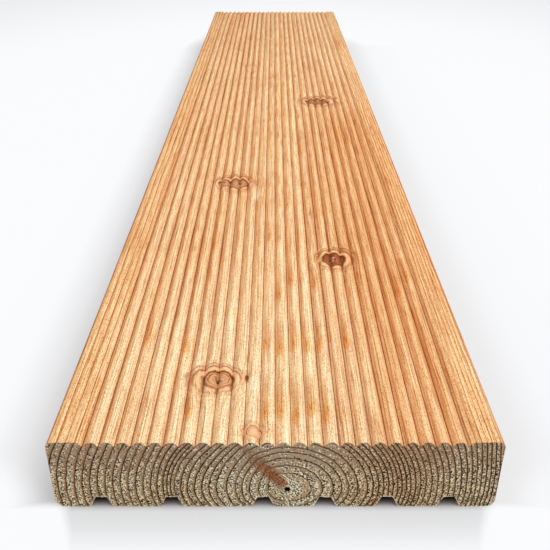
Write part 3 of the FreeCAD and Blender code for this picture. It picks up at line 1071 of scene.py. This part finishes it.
def sawn_end():
    """The end faces: rings cut across, with open pores and torn fibre ends."""
    w = Wiring("sawn_end")
    place = w.millimetres()
    x, _, height = w.parts(place)
    flat = w.stretched(place, (1, 400, 1))
    low = w.span(height, 22, 9)
    cloud = w.noise(flat, (11, 11, 11), 3)
    grain = w.noise(flat, (0.26, 0.26, 0.26))
    base = w.mix(low, (188, 163, 135), (203, 172, 126))
    base = w.mix(w.span(cloud, 0.52, 0.74, 0, 0.3), base, (172, 116, 74))
    base = w.mix(w.span(grain, 0.4, 0.68, 0, 0.6), base, (146, 117, 86))
    base, line = end_rings(w, flat, x, height, low, base)
    base = end_branch(w, flat, height, base)
    base = w.tint(w.span(w.apart(x, PITH_X), 14, 38), base, (250, 242, 234))
    base = w.tint(w.times(w.span(x, 10, 26), w.span(x, 60, 44)), base, (246, 234, 222))
    torn = w.times(w.span(w.attribute("torn"), 0.2, 0.9), w.span(grain, 0.42, 0.54))
    base = w.mix(w.times(torn, 0.95), base, (252, 238, 204))
    # Painted shade: the pith's hole is painted near black
    base = w.mix(w.span(w.attribute("pit"), 0, 0.3), base, (26, 16, 8))
    relief = w.bump(line, -0.12, 0.8, under=w.bump(grain, 0.15, 0.7))
    return w.surface(base, w.span(grain, 0.2, 0.8, 0.7, 0.9), relief, 0.1)


def floor_shares(w):
    """How far each place of the floor is seen as clear white, and how far it lies outside the board. The
    white is held back beside and in front of the board, more on its left, and far off, so the matt floor's
    shading shows there: the shadow's reach and its lean to the left are painted, and so is a greying far
    off.
    """
    x, along, _ = w.parts(w.millimetres())
    beside = w.less(w.apart(x, 0), WIDTH / 2)
    beyond = w.less(w.apart(along, LENGTH / 2), LENGTH / 2)
    right = w.span(x, -60, 60)
    rise = w.span(beside, w.span(along, 0, 30, 3, 13), w.span(along, 0, 30, 17, 37))
    # Painted shadow: less white beside the board's left side than its right one, as if lit from the right
    by_side = w.add(w.times(rise, w.span(right, 0, 1, 0.62, 0.42)), w.span(right, 0, 1, 0.3, 0.4))
    by_side = w.add(by_side, w.span(beside, 30, 90, 0, 0.14), w.span(along, 690, 775, 0, 0.6))
    by_side = w.times(by_side, w.span(beside, -1, 0))
    by_end = w.add(w.span(beyond, -1.5, 2.5, 0, 0.53), w.span(beyond, 5, 26, 0, 0.45))
    edge = w.add(beside, w.times(beyond, 0.42))
    by_corner = w.times(w.span(edge, -9, 1), w.span(along, 5, -2))
    clear = w.most(by_side, by_end, by_corner)
    wide = w.times(x, 1.5)
    far = w.less(along, 250)
    distance = w.math("SQRT", w.add(w.times(wide, wide), w.times(far, far)))
    # Painted fall-off of light: the floor greys far from the board
    clear = w.math("MINIMUM", clear, w.span(distance, 450, 1050, 0.97, 0.74))
    return clear, w.most(beside, beyond)


def pale_floor():
    """A white floor with a painted shadow, dark grey under the board: it lights the object as matt paint
    does, and the camera sees it brighter."""
    w = Wiring("pale_floor")
    clear, outside = floor_shares(w)
    path = w.node("ShaderNodeLightPath")
    seen = w.most(*(path.outputs[f"Is {kind} Ray"] for kind in ("Camera", "Glossy", "Transmission")))
    # Painted shadow: the floor's own colour is dark grey under the board, up to its edges
    tone = w.mix(w.span(outside, -4.5, 0), (60, 58, 56), (204, 205, 208))
    matt = w.node("ShaderNodeBsdfDiffuse", tone)
    glow = w.node("ShaderNodeEmission", paint(252, 253, 254))
    return w.finished(w.node("ShaderNodeMixShader", w.times(clear, seen), matt.outputs[0], glow.outputs[0]))


def link(name, data):
    made = bpy.data.objects.new(name, data)
    bpy.context.scene.collection.objects.link(made)
    return made


def add_board():
    mesh = board_mesh()
    mesh.materials.append(planed_wood())
    mesh.materials.append(sawn_end())
    board = link("board", mesh)
    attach(board, "root")
    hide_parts("decking_board")


def add_floor():
    half = FLOOR_HALF
    mesh = bpy.data.meshes.new("floor")
    corners = [(-half, -half, 0), (half, -half, 0), (half, half, 0), (-half, half, 0)]
    mesh.from_pydata(corners, [], [(0, 1, 2, 3)])
    mesh.materials.append(pale_floor())
    link("floor", mesh)


def add_lamp(name, place, aim, size, length, watts):
    lamp = bpy.data.lights.new(name, "AREA")
    lamp.shape = "RECTANGLE"
    lamp.size = size
    lamp.size_y = length
    lamp.energy = watts
    made = link(name, lamp)
    made.location = place
    made.rotation_euler = (Vector(aim) - Vector(place)).to_track_quat("-Z", "X").to_euler()


def add_light():
    world = bpy.data.worlds.new("studio")
    bpy.context.scene.world = world
    world.use_nodes = True
    background = world.node_tree.nodes["Background"]
    background.inputs["Color"].default_value = WORLD_COLOUR
    background.inputs["Strength"].default_value = WORLD_STRENGTH
    add_lamp("strip", place=(0.2, -0.12, 0.74), aim=(0, -0.12, 0), size=0.45, length=1.5, watts=6.9)
    add_lamp("front", place=(0, -1.3, 0.35), aim=(0, -0.38, 0.01), size=0.8, length=0.4, watts=0.62)


def add_camera():
    lens = bpy.data.cameras.new("camera")
    lens.sensor_width = SENSOR_WIDTH
    lens.lens = FOCAL_PIXELS / IMAGE_PIXELS * SENSOR_WIDTH
    lens.clip_start = 0.01
    camera = link("camera", lens)
    camera.location = (CAMERA_ASIDE * MM, -(LENGTH / 2 + CAMERA_BACK) * MM, CAMERA_HEIGHT * MM)
    camera.rotation_euler = (math.radians(90 - CAMERA_TILT), 0, math.radians(CAMERA_TURN))
    bpy.context.scene.camera = camera


add_board()
add_floor()
add_light()
add_camera()
bpy.context.scene.view_settings.view_transform = "Standard"
